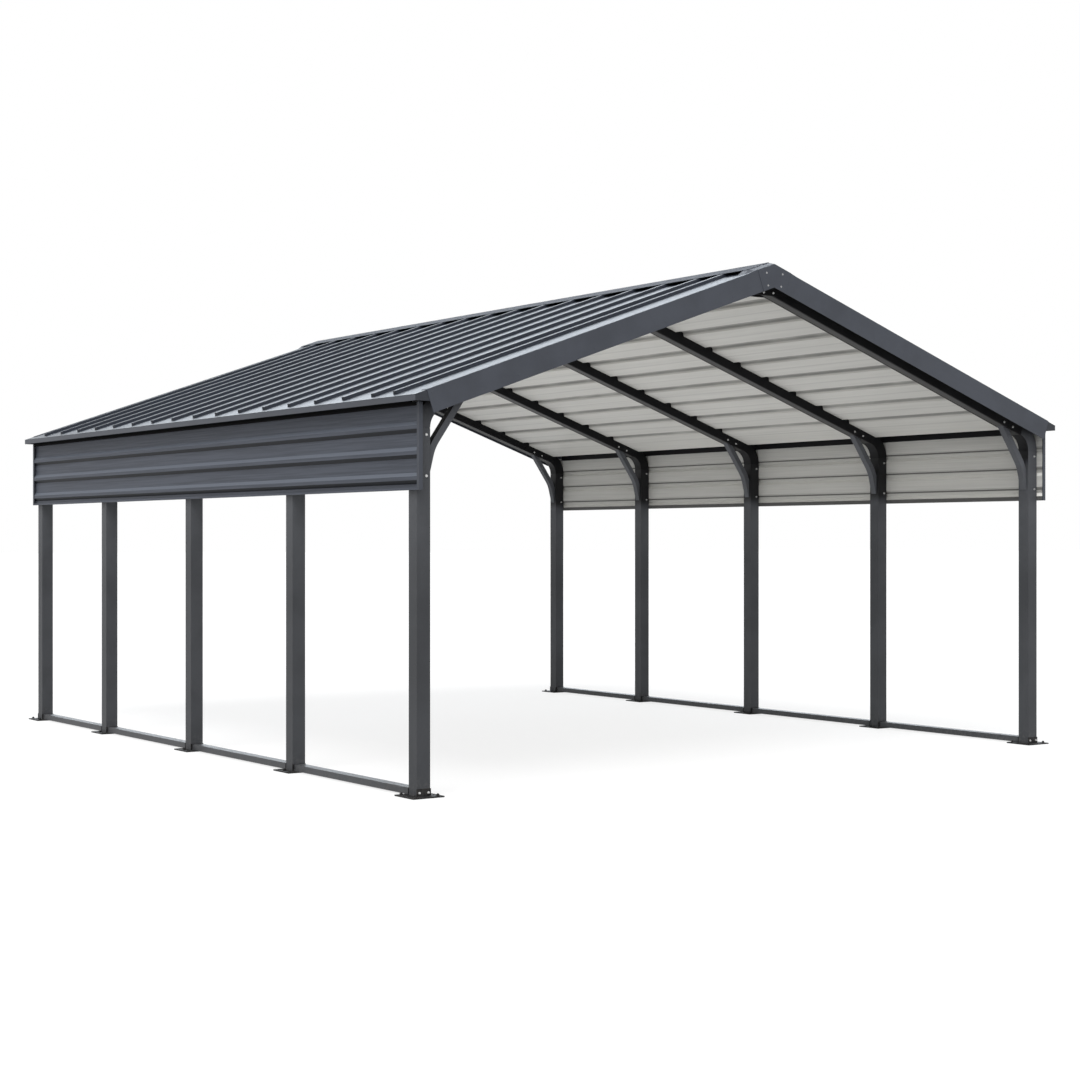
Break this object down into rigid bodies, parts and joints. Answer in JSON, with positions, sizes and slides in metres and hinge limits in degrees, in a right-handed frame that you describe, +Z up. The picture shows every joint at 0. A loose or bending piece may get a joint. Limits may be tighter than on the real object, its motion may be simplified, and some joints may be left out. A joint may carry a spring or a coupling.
{
  "type": "carport",
  "caption": "Open gable-roofed steel carport: bolted tube frames on base plates carry a ribbed, lined roof and short ribbed side panels at the eaves, to shelter vehicles.",
  "frame": {"origin": "on the ground in the middle of the plan", "axes": "+Z up, +Y from the front gable to the rear gable along the ridge, +X to the right seen from the front"},
  "size_m": [5.412, 6.237, 3.2802],
  "materials": {
    "frame_steel": "satin powder coat, dark grey",
    "plate_steel": "satin powder coat, near black",
    "trim_steel": "satin colour coat, slate grey",
    "panel_steel": "satin colour coat, slate grey outside and pale inside",
    "roof_steel": "satin colour coat, blue grey",
    "liner_steel": "satin backing coat, pale warm grey",
    "purlin_steel": "galvanised"
  },
  "bodies": {
    "root": {"apex_covers": "trim_steel", "eave_beams": "frame_steel", "elbows_1": "frame_steel", "elbows_2": "frame_steel", "elbows_3": "frame_steel", "elbows_4": "frame_steel", "elbows_5": "frame_steel", "front_fascia": "trim_steel", "knee_braces_1": "frame_steel", "knee_braces_2": "frame_steel", "knee_braces_3": "frame_steel", "knee_braces_4": "frame_steel", "knee_braces_5": "frame_steel", "left_base_rails": "frame_steel", "left_eave_trim": "trim_steel", "left_post_1": "frame_steel", "left_post_2": "frame_steel", "left_post_3": "frame_steel", "left_post_4": "frame_steel", "left_post_5": "frame_steel", "left_roof_liner": "liner_steel", "left_roof_sheet": "roof_steel", "left_shoes": "plate_steel", "left_side_panel": "panel_steel", "panel_end_trims": "panel_steel", "rafters_1": "frame_steel", "rafters_2": "frame_steel", "rafters_3": "frame_steel", "rafters_4": "frame_steel", "rafters_5": "frame_steel", "rear_fascia": "trim_steel", "ridge_cap": "roof_steel", "ridge_gussets": "plate_steel", "right_base_rails": "frame_steel", "right_eave_trim": "trim_steel", "right_post_1": "frame_steel", "right_post_2": "frame_steel", "right_post_3": "frame_steel", "right_post_4": "frame_steel", "right_post_5": "frame_steel", "right_roof_liner": "liner_steel", "right_roof_sheet": "roof_steel", "right_shoes": "plate_steel", "right_side_panel": "panel_steel", "roof_purlins": "purlin_steel"}
  },
  "joints": []
}
